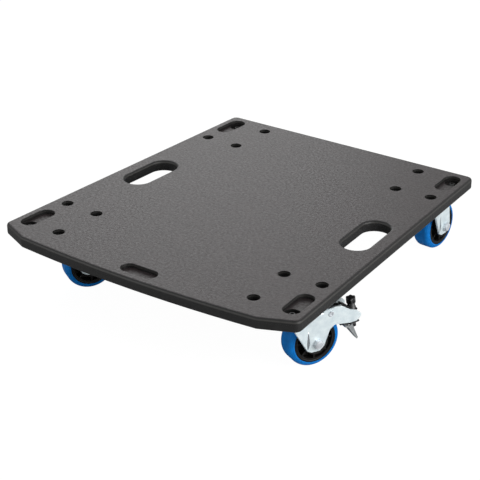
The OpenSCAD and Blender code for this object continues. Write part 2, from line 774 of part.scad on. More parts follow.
// The grey tongue welded under the leaf, which a toe lifts to free the wheel
module release_tongue(i) {
    top_half = 13;
    tip_half = 3.5;
    start = leaf_high + 0.15 * (leaf_low - leaf_high);
    fold = leaf_high + 0.6 * (leaf_low - leaf_high);
    tip = [arm_tip + 8.5, wheel_r - 21.5];
    slope = unit(tip - fold);
    leaf_up_n = [-unit(leaf_low - leaf_high).y, unit(leaf_low - leaf_high).x];
    slope_up_n = [-slope.y, slope.x];
    inner = fold - leaf_t * (leaf_up_n + slope_up_n) / (1 + leaf_up_n * slope_up_n);
    color("#aeb4ba") at_caster(i) intersection() {
        side_plate(-top_half, 2 * top_half)
            polygon([start, start - leaf_t * leaf_up_n, inner, tip - leaf_t * slope_up_n, tip, fold]);
        linear_extrude(board_z) polygon([
            [start.x - wheel_r, top_half], [fold.x, top_half], [tip.x, tip_half],
            [tip.x, -tip_half], [fold.x, -top_half], [start.x - wheel_r, -top_half]]);
    }
}

board();
board_face();
deck_screws();
deck_nuts();
top_plate(FR);  // top_plate_fr
top_plate(FL);  // top_plate_fl
top_plate(RR);  // top_plate_rr
top_plate(RL);  // top_plate_rl
kingpin(FR);  // kingpin_fr
kingpin(FL);  // kingpin_fl
kingpin(RR);  // kingpin_rr
kingpin(RL);  // kingpin_rl
swivel_race(FR);  // swivel_race_fr
swivel_race(FL);  // swivel_race_fl
swivel_race(RR);  // swivel_race_rr
swivel_race(RL);  // swivel_race_rl
swivel_balls(FR);  // swivel_balls_fr
swivel_balls(FL);  // swivel_balls_fl
swivel_balls(RR);  // swivel_balls_rr
swivel_balls(RL);  // swivel_balls_rl
fork(FR);  // fork_fr
fork(FL);  // fork_fl
fork(RR);  // fork_rr
fork(RL);  // fork_rl
axle_bolt(FR);  // axle_bolt_fr
axle_bolt(FL);  // axle_bolt_fl
axle_bolt(RR);  // axle_bolt_rr
axle_bolt(RL);  // axle_bolt_rl
axle_nut(FR);  // axle_nut_fr
axle_nut(FL);  // axle_nut_fl
axle_nut(RR);  // axle_nut_rr
axle_nut(RL);  // axle_nut_rl
axle_sleeve(FR);  // axle_sleeve_fr
axle_sleeve(FL);  // axle_sleeve_fl
axle_sleeve(RR);  // axle_sleeve_rr
axle_sleeve(RL);  // axle_sleeve_rl
tyre(FR);  // tyre_fr
tyre(FL);  // tyre_fl
tyre(RR);  // tyre_rr
tyre(RL);  // tyre_rl
hub(FR);  // hub_fr
hub(FL);  // hub_fl
hub(RR);  // hub_rr
hub(RL);  // hub_rl
wheel_bearings(FR);  // wheel_bearings_fr
wheel_bearings(FL);  // wheel_bearings_fl
wheel_bearings(RR);  // wheel_bearings_rr
wheel_bearings(RL);  // wheel_bearings_rl
brake_lever(FR);  // brake_lever_fr
brake_lever(FL);  // brake_lever_fl
brake_rivets(FR);  // brake_rivets_fr
brake_rivets(FL);  // brake_rivets_fl
brake_screw(FR);  // brake_screw_fr
brake_screw(FL);  // brake_screw_fl
brake_leaf(FR);  // brake_leaf_fr
brake_leaf(FL);  // brake_leaf_fl
release_tongue(FR);  // release_tongue_fr
release_tongue(FL);  // release_tongue_fl
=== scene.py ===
# %% [markdown]
# # A caster board for moving cases
# The object is a black plywood board on four swivel casters with blue rubber wheels. The front two have
# foot brakes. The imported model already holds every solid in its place, in metres, with the floor at zero
# and the bowed front edge towards -Y. This file gives those solids their finishes, adds the small things
# that a solid model leaves out, such as screw threads and moulding marks, makes the brakes' levers and knobs
# in their lower, lobed form, and sets up light and camera.

import json
import math
import bmesh
import bpy
from mathutils import Matrix, Vector


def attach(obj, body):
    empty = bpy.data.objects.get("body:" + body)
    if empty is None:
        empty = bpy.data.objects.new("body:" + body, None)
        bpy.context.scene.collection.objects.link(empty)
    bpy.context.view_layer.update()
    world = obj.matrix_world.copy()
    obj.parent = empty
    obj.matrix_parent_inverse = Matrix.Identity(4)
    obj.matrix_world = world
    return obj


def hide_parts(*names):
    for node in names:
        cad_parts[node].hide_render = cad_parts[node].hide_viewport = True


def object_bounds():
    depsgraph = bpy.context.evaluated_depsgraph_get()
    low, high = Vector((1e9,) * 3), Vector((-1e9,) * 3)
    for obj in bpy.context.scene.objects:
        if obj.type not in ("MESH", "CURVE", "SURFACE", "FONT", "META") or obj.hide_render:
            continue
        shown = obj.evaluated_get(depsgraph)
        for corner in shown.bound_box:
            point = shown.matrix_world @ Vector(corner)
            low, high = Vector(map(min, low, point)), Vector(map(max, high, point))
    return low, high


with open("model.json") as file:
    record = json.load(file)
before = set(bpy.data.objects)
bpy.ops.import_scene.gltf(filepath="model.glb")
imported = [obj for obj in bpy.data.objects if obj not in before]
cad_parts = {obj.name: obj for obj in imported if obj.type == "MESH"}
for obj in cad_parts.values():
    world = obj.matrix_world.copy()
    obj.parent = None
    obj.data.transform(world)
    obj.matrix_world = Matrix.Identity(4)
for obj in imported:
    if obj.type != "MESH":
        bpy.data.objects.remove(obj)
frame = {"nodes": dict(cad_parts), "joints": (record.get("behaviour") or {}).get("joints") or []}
cad_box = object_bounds()
casters = ["fr", "fl", "rr", "rl"]

# %% [markdown]
# Colours are written as sRGB hex, the way a paint card or an image editor shows them. Blender's shaders work
# in linear light, so one function turns them round. One more function adds a node with its settings and
# links, which keeps each material readable as a list of steps. Two short ones on top of it turn a pattern
# into colours or into a range of values.

# %% Colour and node helpers
def linear(hex_colour):
    """An sRGB hex colour as linear RGBA."""
    values = [int(hex_colour[i:i + 2], 16) / 255 for i in (1, 3, 5)]
    return [v / 12.92 if v <= 0.04045 else ((v + 0.055) / 1.055) ** 2.4 for v in values] + [1.0]


def add(material, kind, inputs=None, **settings):
    """Add a node: settings are its properties, inputs its sockets, each a value or another socket."""
    tree = material.node_tree
    node = tree.nodes.new("ShaderNode" + kind)
    for name, value in settings.items():
        setattr(node, name, value)
    for name, value in (inputs or {}).items():
        if isinstance(value, bpy.types.NodeSocket):
            tree.links.new(value, node.inputs[name])
        else:
            node.inputs[name].default_value = value
    return node


def new_material(name):
    """An empty material with its output node."""
    material = bpy.data.materials.new(name)
    material.use_nodes = True
    material.node_tree.nodes.clear()
    return material, add(material, "OutputMaterial")


def ramp(material, factor, stops):
    """Turn a 0 to 1 value into colours at the given places."""
    node = add(material, "ValToRGB", {"Fac": factor})
    node.color_ramp.elements[0].position, node.color_ramp.elements[0].color = stops[0][0], stops[0][1]
    node.color_ramp.elements[1].position, node.color_ramp.elements[1].color = stops[-1][0], stops[-1][1]
    for place, colour in stops[1:-1]:
        node.color_ramp.elements.new(place).color = colour
    return node.outputs["Color"]


def spread(material, value, start, end, low=0.0, high=1.0):
    """Turn the values from start to end into low to high."""
    node = add(material, "MapRange", {"Value": value, "From Min": start, "From Max": end,
                                      "To Min": low, "To Max": high})
    return node.outputs["Result"]


print("grey 110 is", round(linear("#6e6e6e")[0], 3), "in linear light")

# %% [markdown]
# Pattern sizes are given in millimetres. A noise texture repeats about once per unit of scale, and the model
# is in metres, so a grain of g mm needs a scale of 1000 / g. Every surface ends in the same way: its pattern
# is also pressed in as relief, and its sharp edges are softened, because no real edge is a perfect corner.

# %% Pattern sizes and relief
def per_mm(grain_mm):
    """Texture scale for a grain of this many millimetres."""
    return 1000.0 / grain_mm


def surface(material, output, shader, height, depth_mm, edge_mm):
    """Join a shader to its output, with softened edges and a height map pressed into its surface."""
    edges = add(material, "Bevel", {"Radius": edge_mm / 1000}, samples=4)
    bump = add(material, "Bump", {"Height": height, "Distance": depth_mm / 1000, "Strength": 1.0,
                                  "Normal": edges.outputs["Normal"]})
    tree = material.node_tree
    tree.links.new(bump.outputs["Normal"], shader.inputs["Normal"])
    tree.links.new(shader.outputs["BSDF"], output.inputs["Surface"])
    return material


print("a grain of 4 mm needs a scale of", per_mm(4))

# %% [markdown]
# ## The board's finish
# The board is birch plywood in two glued layers under a black coating. The face is sprayed and slightly
# pebbled, and it looks grey from above only because a rough clear surface reflects much of a bright studio at
# a low angle. Its edge is rounded with a router and painted by hand, so the cut edge is blacker. A thin
# lighter band is painted round the board where the rounding begins: a painted highlight for the light the
# edge catches there.

# %% Coated plywood
def heights(material, place, low_mm, high_mm):
    """0 below one height in mm and 1 above another, for a pattern that depends on height alone."""
    height = add(material, "SeparateXYZ", {0: place}).outputs["Z"]
    return spread(material, height, low_mm / 1000, high_mm / 1000)


def facing_up(material):
    """1 on level faces and 0 on walls and on the rounding of an edge."""
    normal = add(material, "NewGeometry").outputs["Normal"]
    upward = add(material, "SeparateXYZ", {0: normal}).outputs["Z"]
    level = add(material, "Math", {0: upward}, operation="ABSOLUTE")
    return spread(material, level.outputs["Value"], 0.96, 0.995)


def coated_plywood(name, dark, light, gloss):
    """Black pebbled coating, with hand-painted edges and a painted highlight band where their rounding
    begins.
    """
    material, output = new_material(name)
    place = add(material, "TexCoord").outputs["Object"]
    cloud = add(material, "TexNoise", {"Vector": place, "Scale": per_mm(24), "Detail": 8.0, "Roughness": 0.7})
    # the real pebble is about 0.8 mm, drawn at 4 mm so that it shows
    pebble = add(material, "TexNoise", {"Vector": place, "Scale": per_mm(4), "Detail": 4.0, "Roughness": 0.7})
    coat = ramp(material, cloud.outputs["Fac"], [(0.35, linear(dark)), (0.65, linear(light))])
    level = facing_up(material)
    # the painted highlight band lies from 116.3 to 118.2 mm above the floor, with ends that fade over 0.6 mm
    above_start = heights(material, place, 116.0, 116.6)
    below_end = heights(material, place, 118.5, 117.9)
    highlight_band = add(material, "Math", {0: above_start, 1: below_end}, operation="MULTIPLY").outputs["Value"]
    # the lighter #343331 on the edge paint #1c1c1c is a painted highlight, where the edge's rounding catches
    # light
    edge = add(material, "MixRGB", {"Fac": highlight_band, "Color1": linear("#1c1c1c"), "Color2": linear("#343331")})
    colour = add(material, "MixRGB", {"Fac": level, "Color1": edge.outputs["Color"], "Color2": coat})
    mixed = add(material, "MixRGB", {"Fac": 0.55, "Color1": colour.outputs["Color"],
                                     "Color2": pebble.outputs["Fac"]}, blend_type="OVERLAY")
    roughness = spread(material, pebble.outputs["Fac"], 0.3, 0.7, gloss - 0.13, gloss + 0.13)
    # the hand-painted edges are duller than the sprayed faces
    ior = spread(material, level, 0, 1, 1.43, 1.55)
    shader = add(material, "BsdfPrincipled", {"Base Color": mixed.outputs["Color"], "IOR": ior,
                                              "Roughness": roughness})
    return surface(material, output, shader, pebble.outputs["Fac"], depth_mm=0.35, edge_mm=0.4)


board_finish = coated_plywood("pebble_coated_birch_plywood", "#221b1c", "#2c2425", 0.46)
print("made", board_finish.name)

# %% [markdown]
# ## Metals, rubber and plastic
# The forks and plates are pressed from sheet and then zinc plated, so they're bright but cloudy, and the
# plating scatters light as well as mirroring it. The turned parts carry finer marks, the balls are polished,
# and the spring steel of the tongue is duller, with its grey painted darker as painted shade for its shaded
# face. The tyres are a soft elastic rubber, and the hubs are moulded polyamide.

# %% Metals, rubber and plastic
def plated_steel(name, dark, light, roughness, brush_mm, edge_mm=0.35, scatter=0.0):
    """Plated steel: a bright metal with cloudy colour, fine upright marks and some scattered light."""
    material, output = new_material(name)
    place = add(material, "TexCoord").outputs["Object"]
    stretched = add(material, "Mapping", {"Vector": place, "Scale": (1.0, 1.0, 0.06)})
    marks = add(material, "TexNoise", {"Vector": stretched.outputs["Vector"], "Scale": per_mm(brush_mm),
                                       "Detail": 4.0})
    cloud = add(material, "TexNoise", {"Vector": place, "Scale": per_mm(9), "Detail": 4.0, "Roughness": 0.55})
    colour = ramp(material, cloud.outputs["Fac"], [(0.3, linear(dark)), (0.7, linear(light))])
    gloss = spread(material, marks.outputs["Fac"], 0.3, 0.7, roughness - 0.05, roughness + 0.07)
    shader = add(material, "BsdfPrincipled", {"Base Color": colour, "Metallic": 1.0 - scatter,
                                              "Roughness": gloss})
    return surface(material, output, shader, marks.outputs["Fac"], 0.02, edge_mm)


def moulded(name, dark, light, roughness, grain_mm, depth_mm, ior, edge_mm=0.4):
    """A moulded or coated surface that isn't bare metal, with fine grain and uneven colour and gloss."""
    material, output = new_material(name)
    place = add(material, "TexCoord").outputs["Object"]
    grain = add(material, "TexNoise", {"Vector": place, "Scale": per_mm(grain_mm), "Detail": 3.0})
    cloud = add(material, "TexNoise", {"Vector": place, "Scale": per_mm(14), "Detail": 4.0})
    colour = ramp(material, cloud.outputs["Fac"], [(0.3, linear(dark)), (0.7, linear(light))])
    gloss = spread(material, cloud.outputs["Fac"], 0.3, 0.7, roughness - 0.05, roughness + 0.05)
    shader = add(material, "BsdfPrincipled", {"Base Color": colour, "Roughness": gloss, "IOR": ior})
    return surface(material, output, shader, grain.outputs["Fac"], depth_mm, edge_mm)


zinc = plated_steel("zinc_plated_pressed_steel", "#d2dfe4", "#e8f2f4",
                    roughness=0.42, brush_mm=1.2, edge_mm=0.5, scatter=0.55)
turned = plated_steel("turned_plated_steel", "#c6cbd0", "#dfe3e7",
                      roughness=0.42, brush_mm=0.8, edge_mm=0.3, scatter=0.4)
# darker than the fork's zinc: the colour is painted shade for the dark band along the bend, and the lower
# roughness is the smoother pressed sheet
bend_zinc_painted_shade = plated_steel("zinc_at_a_bend_with_painted_shade", "#a9b0b6", "#bcc3c8",
                          roughness=0.2, brush_mm=0.8, edge_mm=0.1, scatter=0.1)
# the tongue's grey is darker than the zinc: painted shade for its shaded face; the duller gloss is its own
tongue_steel_painted_shade = plated_steel("spring_steel_with_painted_shade", "#8f9394", "#a5a9aa",
                            roughness=0.45, brush_mm=0.8, edge_mm=0.3, scatter=0.55)
ball_steel = plated_steel("polished_bearing_steel", "#c6c8cb", "#dfe1e4",
                          roughness=0.12, brush_mm=0.6, edge_mm=0.1)
black_screw = moulded("black_oxide_screw_steel", "#141415", "#1e1e20",
                      roughness=0.38, grain_mm=0.5, depth_mm=0.02, ior=1.6)
black_steel = moulded("black_dip_coated_steel", "#161617", "#212123",
                      roughness=0.42, grain_mm=0.9, depth_mm=0.04, ior=1.5)
rubber = moulded("elastic_blue_rubber", "#0064ac", "#0074c6",
                 roughness=0.5, grain_mm=1.1, depth_mm=0.05, ior=1.25, edge_mm=0.6)
polyamide = moulded("moulded_black_polyamide", "#0a0909", "#131111",
                    roughness=0.48, grain_mm=0.9, depth_mm=0.04, ior=1.36)
print("made", len(bpy.data.materials), "materials")

# %% [markdown]
# A solid's name says what it is, and its last two letters say which caster it belongs to. So one table of
# kinds gives all four casters the same finishes.

# %% Give every solid its finish
finish_of = {"board": board_finish, "board_face": board_finish, "deck_screws": black_screw,
             "deck_nuts": turned, "top_plate": zinc, "kingpin": turned, "swivel_race": turned,
             "swivel_balls": ball_steel, "fork": zinc, "axle_bolt": turned, "axle_nut": turned,
             "axle_sleeve": turned, "tyre": rubber, "hub": polyamide, "wheel_bearings": turned,
             "brake_lever": black_steel, "brake_rivets": turned, "brake_screw": black_screw,
             "brake_leaf": black_steel, "release_tongue": tongue_steel_painted_shade}
for name, solid in frame["nodes"].items():
    kind = name[:-3] if name[-2:] in casters else name
    solid.data.materials.clear()
    solid.data.materials.append(finish_of[kind])
print("finished", len(frame["nodes"]), "solids")

# %% [markdown]
# ## Places of the casters
# Every caster has its own heading, so its small pieces are built once in the caster's own axes: X along the
# trail, Y along the axle and Z up, with the origin on the floor under the kingpin. The record's joints say
# where those axes lie, so no place is written down twice.

# %% Caster axes
MM = 0.001
joints = {joint["name"]: joint for joint in frame["joints"]}


def axes_of(caster):
    """The matrix that takes a caster's own axes to the board's."""
    pivot = Vector(joints["swivel_" + caster]["pos_m"])
    axle = Vector(joints["roll_" + caster]["pos_m"])
    across = Vector(joints["roll_" + caster]["axis"])
    trail = Vector((axle.x - pivot.x, axle.y - pivot.y, 0.0)).normalized()
    matrix = Matrix((trail, across, Vector((0, 0, 1)))).transposed().to_4x4()
    matrix.translation = (pivot.x, pivot.y, 0.0)
    return matrix


def axle_of(caster):
    """The caster's axes moved to the middle of its wheel, with Z along the axle."""
    pivot = Vector(joints["swivel_" + caster]["pos_m"])
    axle = Vector(joints["roll_" + caster]["pos_m"])
    reach = math.hypot(axle.x - pivot.x, axle.y - pivot.y)
    turn = Matrix.Rotation(math.radians(-90), 4, "X")
    return axes_of(caster) @ Matrix.Translation((reach, 0, axle.z)) @ turn


print("front right axle at", [round(c, 4) for c in axle_of("fr").translation], "m")

# %% [markdown]
# ## Lathe and thread
# Nearly all the fittings come from a lathe or from a thread-cutting die. So one helper turns a profile
# round an axis and one winds a ridge along a helix. Each writes into an open mesh, so that a set of fittings
# on one body can be a single piece, which a third helper closes and hangs on its body.

# %% Lathe, thread and piece
def lathe(mesh, place, profile, steps=48):
    """Turn a closed profile of (radius, height) pairs in mm round the Z axis of a place."""
    rings = []
    for k in range(steps):
        turn = Matrix.Rotation(2 * math.pi * k / steps, 4, "Z")
        rings.append([mesh.verts.new(place @ turn @ Vector((r * MM, 0, h * MM))) for r, h in profile])
    count = len(profile)
    for k in range(steps):
        here, there = rings[k], rings[(k + 1) % steps]
        for i in range(count):
            mesh.faces.new((here[i], there[i], there[(i + 1) % count], here[(i + 1) % count]))


def thread(mesh, place, radius, pitch, length, steps=20):
    """Wind a V ridge of the given pitch round a shank, in mm, with its feet 0.1 mm inside the shank."""
    foot, crest, half_width = radius - 0.1, radius + 0.32 * pitch, 0.42 * pitch
    rows = []
    for k in range(int(length / pitch * steps) + 1):
        angle, rise = 2 * math.pi * k / steps, pitch * k / steps
        out = Vector((math.cos(angle), math.sin(angle), 0))
        rows.append([mesh.verts.new(place @ ((out * r + Vector((0, 0, rise + h))) * MM))
                     for r, h in ((foot, -half_width), (crest, 0), (foot, half_width))])
    for a, b in zip(rows, rows[1:]):
        mesh.faces.new((a[0], b[0], b[1], a[1]))
        mesh.faces.new((a[1], b[1], b[2], a[2]))


def piece(name, mesh, finish, body, smooth=True):
    """Close an open mesh into an object that rides on a body."""
    bmesh.ops.recalc_face_normals(mesh, faces=mesh.faces)
    for face in mesh.faces:
        face.smooth = smooth
    data = bpy.data.meshes.new(name)
    mesh.to_mesh(data)
    mesh.free()
    data.materials.append(finish)
    obj = bpy.data.objects.new(name, data)
    bpy.context.collection.objects.link(obj)
    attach(obj, body)
    print(name, len(data.polygons), "faces on", body)
    return obj


# %% [markdown]
# ## Tyre and hub marks
# A rubber tyre is cast round its hub in a split mould. The mould leaves a raised ring low on each side wall.
# The plastic hub carries two rings that stiffen its face, and six small round marks where pins pushed it out
# of its own mould. All are turned shapes, a few tenths of a millimetre high, which catch the light and leave
# the form as it is.

# %% Rings on the wheels
pins, pin_circle = 6, 15.2
for caster in casters:
    place = axle_of(caster)
    mesh = bmesh.new()
    for side in (1, -1):
        lathe(mesh, place, [(33.8, side * 14.4), (35.2, side * 14.1), (35.0, side * 14.75),
                            (34.5, side * 14.95), (34.0, side * 15.0)], steps=96)
    piece("tyre_rings_" + caster, mesh, rubber, "wheel_" + caster)

    mesh = bmesh.new()
    for side in (1, -1):
        lathe(mesh, place, [(29.2, side * 14.0), (31.6, side * 14.0), (31.4, side * 14.9),
                            (30.6, side * 15.0), (29.6, side * 14.7)], steps=96)
        lathe(mesh, place, [(16.2, side * 19.4), (17.4, side * 19.4), (17.3, side * 19.8),
                            (16.4, side * 19.8)], steps=72)
        for k in range(pins):
            angle = 2 * math.pi * (k + 0.5) / pins
            offset = Vector((math.cos(angle), math.sin(angle), 0)) * pin_circle * MM
            mark = place @ Matrix.Translation(offset)
            lathe(mesh, mark, [(0.05, side * 19.5), (0.8, side * 19.5), (0.7, side * 19.8),
                               (0.05, side * 19.85)], steps=16)
    piece("hub_rings_" + caster, mesh, polyamide, "wheel_" + caster)

# %% [markdown]
# ## Bearing seals, axle end and swivel head
# Each wheel bearing is closed by a black rubber seal between its two rings. The axle's lock nut holds a
# nylon ring that grips the thread, and the end of the thread stands out of it. On the head, a rubber ring
# keeps dust from the balls, the lower end of the kingpin is peened over, and the top plate is pressed with a
# low bead round its race. Every threaded end is 8 mm across with a pitch of 1.25 mm.

# %% Small parts of every caster
nylon = moulded("undyed_nylon", "#c9cdd2", "#dde0e3",
                roughness=0.45, grain_mm=0.7, depth_mm=0.02, ior=1.53, edge_mm=0.2)
seal_rubber = moulded("black_seal_rubber", "#101011", "#191919",
                      roughness=0.55, grain_mm=0.6, depth_mm=0.03, ior=1.5, edge_mm=0.2)
thread_r, thread_pitch = 4.0, 1.25
for caster in casters:
    place, head = axle_of(caster), axes_of(caster)
    mesh = bmesh.new()
    for side in (1, -1):
        lathe(mesh, place, [(8.1, side * 19.0), (11.95, side * 19.0), (11.9, side * 19.45),
                            (10.5, side * 19.3), (9.0, side * 19.5), (8.1, side * 19.4)])
    piece("bearing_seals_" + caster, mesh, seal_rubber, "wheel_" + caster)

    mesh = bmesh.new()
    lathe(mesh, place, [(4.1, -27.9), (5.3, -27.9), (5.2, -28.5), (4.6, -28.7), (4.1, -28.5)])
    piece("lock_insert_" + caster, mesh, nylon, "swivel_" + caster)

    mesh = bmesh.new()
    thread(mesh, place @ Matrix.Translation((0, 0, -28.55 * MM)), thread_r, thread_pitch, thread_pitch)
    piece("axle_thread_" + caster, mesh, turned, "swivel_" + caster)

    mesh = bmesh.new()
    lathe(mesh, head, [(29.4, 95.2), (31.25, 95.2), (31.25, 96.6), (30.2, 96.9), (29.4, 96.4)], steps=72)
    piece("dust_ring_" + caster, mesh, seal_rubber, "swivel_" + caster)

    mesh = bmesh.new()
    lathe(mesh, head, [(0.05, 81.4), (6.4, 81.4), (6.2, 80.7), (4.6, 80.0), (2.0, 80.3), (0.05, 80.4)])
    piece("peened_end_" + caster, mesh, turned, "deck")

    mesh = bmesh.new()
    lathe(mesh, head, [(34.6, 99.1), (38.4, 99.1), (37.6, 98.5), (36.5, 98.2), (35.4, 98.5)], steps=72)
    piece("plate_bead_" + caster, mesh, zinc, "deck")

# %% [markdown]
# ## Bends in the fork's legs
# Each leg is turned in ahead of its axle, towards the round head. The press stretches the sheet there into a
# soft rib that is smoother than the rest, widest near the axle and flat further up, and it mirrors the darker
# side of the room. So each leg gets a slim rounded rib that stands about half a millimetre out of the bend.
# Its zinc is painted darker than the fork's, as painted shade for the dark band along the bend.

# %% Ribs along the bends
def bend_rib(mesh, place, crease, outer, sections, steps=10):
    """A rounded upright rib on a leg, from sections of (height, how far it stands out, radius), in mm."""
    # how far inside the leg's face the rounding ends, and where the rib's flat back lies
    arc_depth, back_depth = 1.3, 1.9
    side = math.copysign(1, outer)
    rings = []
    for height, stand, radius in sections:
        sink = radius - stand
        half = math.acos((sink - arc_depth) / radius)
        angles = [half * (2 * k / steps - 1) for k in range(steps + 1)]
        section = [(radius * math.sin(angle), radius * math.cos(angle) - sink) for angle in angles]
        section += [(section[-1][0], -back_depth), (section[0][0], -back_depth)]
        rings.append([mesh.verts.new(place @ (Vector((crease + x, outer + side * y, height)) * MM))
                      for x, y in section])
    count = len(rings[0])
    for here, there in zip(rings, rings[1:]):
        for k in range(count):
            mesh.faces.new((here[k], there[k], there[(k + 1) % count], here[(k + 1) % count]))
    mesh.faces.new(rings[0])
    mesh.faces.new(rings[-1])


rib = [(34, 0.05, 3), (37, 0.3, 4.5), (40, 0.55, 7), (44, 0.65, 9),
       (48, 0.5, 9), (53, 0.25, 9), (58, 0.08, 9), (62, 0.02, 9)]
leg_crease, leg_outside = 19.5, 22.5
for caster in casters:
    mesh = bmesh.new()
    for outer in (leg_outside, -leg_outside):
        bend_rib(mesh, axes_of(caster), leg_crease, outer, rib)
    piece("leg_bends_" + caster, mesh, bend_zinc_painted_shade, "swivel_" + caster)

# %% [markdown]
# ## Screw ends under the plates
# The screws come through flanged nuts, and a turn of thread shows below each. The places come from the screws
# themselves: their node is sorted into separate shells, and each shell's middle is a screw.

# %% Threads of the deck screws
def shells(solid):
    """The middle and the lowest height of each separate shell of a solid."""
    mesh = solid.data
    parent = list(range(len(mesh.vertices)))

    def root(i):
        while parent[i] != i:
            parent[i] = parent[parent[i]]
            i = parent[i]
        return i

    keys = {}
    for vertex in mesh.vertices:
        key = tuple(round(c, 6) for c in vertex.co)
        if key in keys:
            parent[root(vertex.index)] = root(keys[key])
        keys[key] = vertex.index
    for edge in mesh.edges:
        parent[root(edge.vertices[0])] = root(edge.vertices[1])
    groups = {}
    for vertex in mesh.vertices:
        groups.setdefault(root(vertex.index), []).append(vertex.co)
    found = []
    for points in groups.values():
        low = [min(p[i] for p in points) for i in range(3)]
        high = [max(p[i] for p in points) for i in range(2)]
        found.append(((low[0] + high[0]) / 2, (low[1] + high[1]) / 2, low[2]))
    return found


mesh = bmesh.new()
places = shells(frame["nodes"]["deck_screws"])
for x, y, low in places:
    thread(mesh, Matrix.Translation((x, y, low + 0.55 * MM)), thread_r, thread_pitch, thread_pitch)
piece("screw_threads", mesh, black_screw, "deck")
print(len(places), "screws")

# %% [markdown]
# ## Brake lever, knob and tongue
# The lever is one pressed channel: two cheeks that lie just inside the fork's arms, and a low floor between
# them. A narrow arm of the floor carries the adjusting screw, with a spring tab behind it. The screw ends in
# a knob with six lobes for the fingers. The tongue's sides are folded up, because a flat strip would bend
# under a shoe. Lever and screw are made here in place of their solids, which stand some four millimetres too
# high beside the fork's arms. Sheet parts are cut as plates, and the rest is turned.

# %% Plates and knobs
def plate(mesh, place, loops, low, high):
    """A flat plate across the axle, from a rim and any holes given as (along, up) pairs in mm."""
    rows = []
    for level in (low, high):
        rings = [[mesh.verts.new(place @ (Vector((x, level, z)) * MM)) for x, z in loop] for loop in loops]
        edges = [mesh.edges.new((ring[k - 1], ring[k])) for ring in rings for k in range(len(ring))]
        bmesh.ops.triangle_fill(mesh, edges=edges, use_beauty=True)
        rows.append(rings)
    for here, there in zip(*rows):
        for k in range(len(here)):
            mesh.faces.new((here[k - 1], here[k], there[k], there[k - 1]))


def softened(outline, rounds=2):
    """An outline with its corners cut back, which rounds them."""
    for _ in range(rounds):
        outline = [(a[0] + t * (b[0] - a[0]), a[1] + t * (b[1] - a[1]))
                   for a, b in zip(outline, outline[1:] + outline[:1]) for t in (0.25, 0.75)]
    return outline


def lobed_knob(mesh, place, profile, lobes, depth, steps=72):
    """Turn an open profile of (radius, height) pairs in mm, with lobes round it and flat ends."""
    rings = []
    for radius, height in profile:
        ring = []
        for k in range(steps):
            angle = 2 * math.pi * k / steps
            r = radius * (1 + depth * math.cos(lobes * angle))
            point = Vector((r * math.cos(angle), r * math.sin(angle), height)) * MM
            ring.append(mesh.verts.new(place @ point))
        rings.append(ring)
    for here, there in zip(rings, rings[1:]):
        for k in range(steps):
            mesh.faces.new((here[k - 1], here[k], there[k], there[k - 1]))
    mesh.faces.new(rings[0])
    mesh.faces.new(rings[-1])


def folded_side(mesh, axes, side, stations, sheet):
    """One side of the tongue, from stations of (base, up, half width, height), sunk 1 mm below the base."""
    rows = []
    for base, up, half, rise in stations:
        foot, top = base - up, base + rise * up
        rows.append([mesh.verts.new(axes @ (Vector((p.x, side * n, p.y)) * MM))
                     for p, n in ((foot, half), (top, half), (top, half - sheet), (foot, half - sheet))])
    for k in range(4):
        mesh.faces.new((rows[0][k - 1], rows[0][k], rows[1][k], rows[1][k - 1]))
    for row in rows:
        mesh.faces.new(row)


# %% [markdown]
# The outlines are in the caster's own axes. The rivet's centre, the screw's foot and its tilt are those of
# the solids, so the pieces turn on the same joint and hold the same leaf. The tongue's fold and tip come from
# its own solid.

# %% Outlines of the lever
screw_foot, screw_tilt = Vector((106.3, 0, 38.2)) * MM, math.radians(-7)
rivet_along, rivet_up, rivet_hole_r = 55.5, 81.5, 3.1
cheek_outside, lever_sheet, arm_half, tab_half = 19.2, 2.0, 6.5, 4.5
cheek_inside = cheek_outside - lever_sheet
cheek_rim = softened([(47.5, 81.5), (50, 88.5), (58, 91), (66, 89), (70, 84.5), (76, 77.5), (84, 71.5),
                      (92, 69.5), (96, 67.5), (95, 65), (86, 65.6), (62, 72), (54.5, 73.5), (49.5, 75.5)])
rivet_hole = [(rivet_along + rivet_hole_r * math.cos(math.pi * k / 16),
               rivet_up + rivet_hole_r * math.sin(math.pi * k / 16)) for k in range(32)]
channel_floor = [(74, 69.2), (86, 66.2), (94, 65.4), (94, 67.4), (86, 68.2), (74, 71.2)]
screw_arm = [(90, 65.6), (97, 65.3), (108.5, 66.7), (108.5, 68.7), (97, 67.3), (90, 67.6)]
spring_tab = softened([(82, 79.5), (84, 81), (90, 77.5), (98, 71.5), (98, 68.5), (90, 73)], 1)
print("the cheek's rim has", len(cheek_rim), "points")

